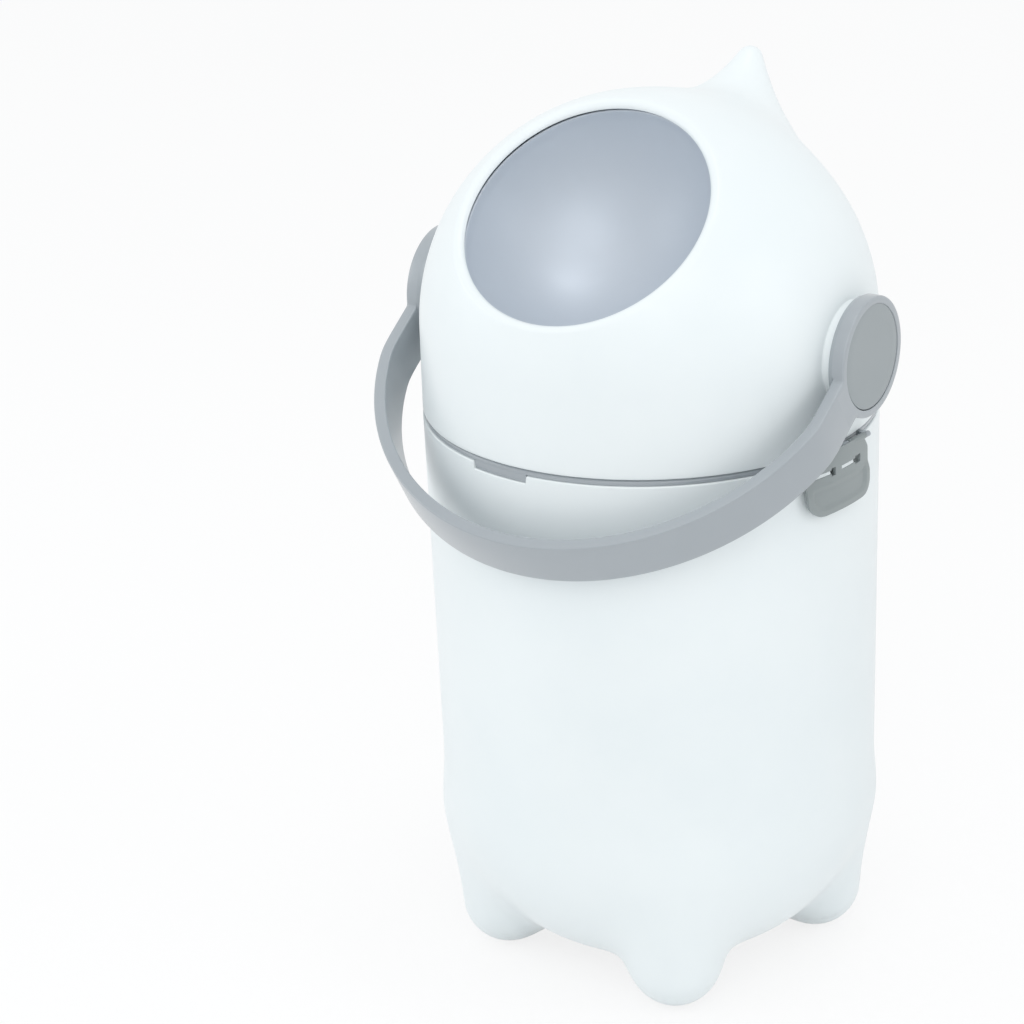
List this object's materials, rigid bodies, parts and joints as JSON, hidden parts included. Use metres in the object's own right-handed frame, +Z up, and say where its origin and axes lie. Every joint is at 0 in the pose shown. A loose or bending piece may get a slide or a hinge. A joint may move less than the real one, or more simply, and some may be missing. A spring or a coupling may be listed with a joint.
{
  "type": "nappy bin",
  "caption": "Round nappy bin on teat feet, with a domed head, a tilting bowl inside it turned by a bail handle, a collar that clamps the bag, and side clips.",
  "frame": {"origin": "on the floor under the axis of the bucket and the dome", "axes": "+Z up; -Y towards the front, where the mouth looks; X along the axis that the handle and the drum turn about"},
  "size_m": [0.296, 0.2983, 0.5365],
  "materials": {
    "white_plastic": "satin white, moulded",
    "bowl_plastic": "satin light blue-grey, moulded",
    "grey_plastic": "satin mid grey, moulded",
    "natural_plastic": "natural acetal, moulded",
    "seal_rubber": "soft dark rubber",
    "steel": "zinc plated"
  },
  "bodies": {
    "bin": {"bin_bucket": "white_plastic"},
    "collar": {"collar_ring": "grey_plastic", "bag_seal": "seal_rubber", "drum_seal": "seal_rubber", "clip_pin_right": "steel", "clip_pin_left": "steel"},
    "clip_right": {"clip_right": "grey_plastic"},
    "clip_left": {"clip_left": "grey_plastic"},
    "head": {"head_shell": "white_plastic", "lock_ring": "grey_plastic", "lock_screws": "steel", "mouth_seal": "seal_rubber", "hub_bush_right": "natural_plastic", "hub_bush_left": "natural_plastic"},
    "rotor": {"bowl": "bowl_plastic", "drum_shell": "grey_plastic", "drum_screws": "steel", "trunnion_right": "natural_plastic", "trunnion_left": "natural_plastic", "trunnion_screws": "steel", "thrust_washer_right": "natural_plastic", "thrust_washer_left": "natural_plastic", "handle_bail": "grey_plastic", "hub_screws": "steel", "hub_cap_right": "grey_plastic", "hub_cap_left": "grey_plastic"}
  },
  "joints": [
    {"name": "collar_lift", "type": "slide", "parent": "bin", "child": "collar", "axis": [0, 0, 1], "range_m": [0, 0.12]},
    {"name": "head_twist", "type": "hinge", "parent": "collar", "child": "head", "pos_m": [0, 0, 0.352], "axis": [0, 0, -1], "range_deg": [0, 10]},
    {"name": "handle_turn", "type": "hinge", "parent": "head", "child": "rotor", "pos_m": [0, 0, 0.4015], "axis": [-1, 0, 0], "range_deg": [0, 150]},
    {"name": "clip_right_swing", "type": "hinge", "parent": "collar", "child": "clip_right", "pos_m": [0.1354, -0.01951, 0.3499], "axis": [-0.1426, -0.9898, 0], "range_deg": [0, 40]},
    {"name": "clip_left_swing", "type": "hinge", "parent": "collar", "child": "clip_left", "pos_m": [-0.1354, 0.01951, 0.3499], "axis": [0.1426, 0.9898, 0], "range_deg": [0, 40]}
  ]
}
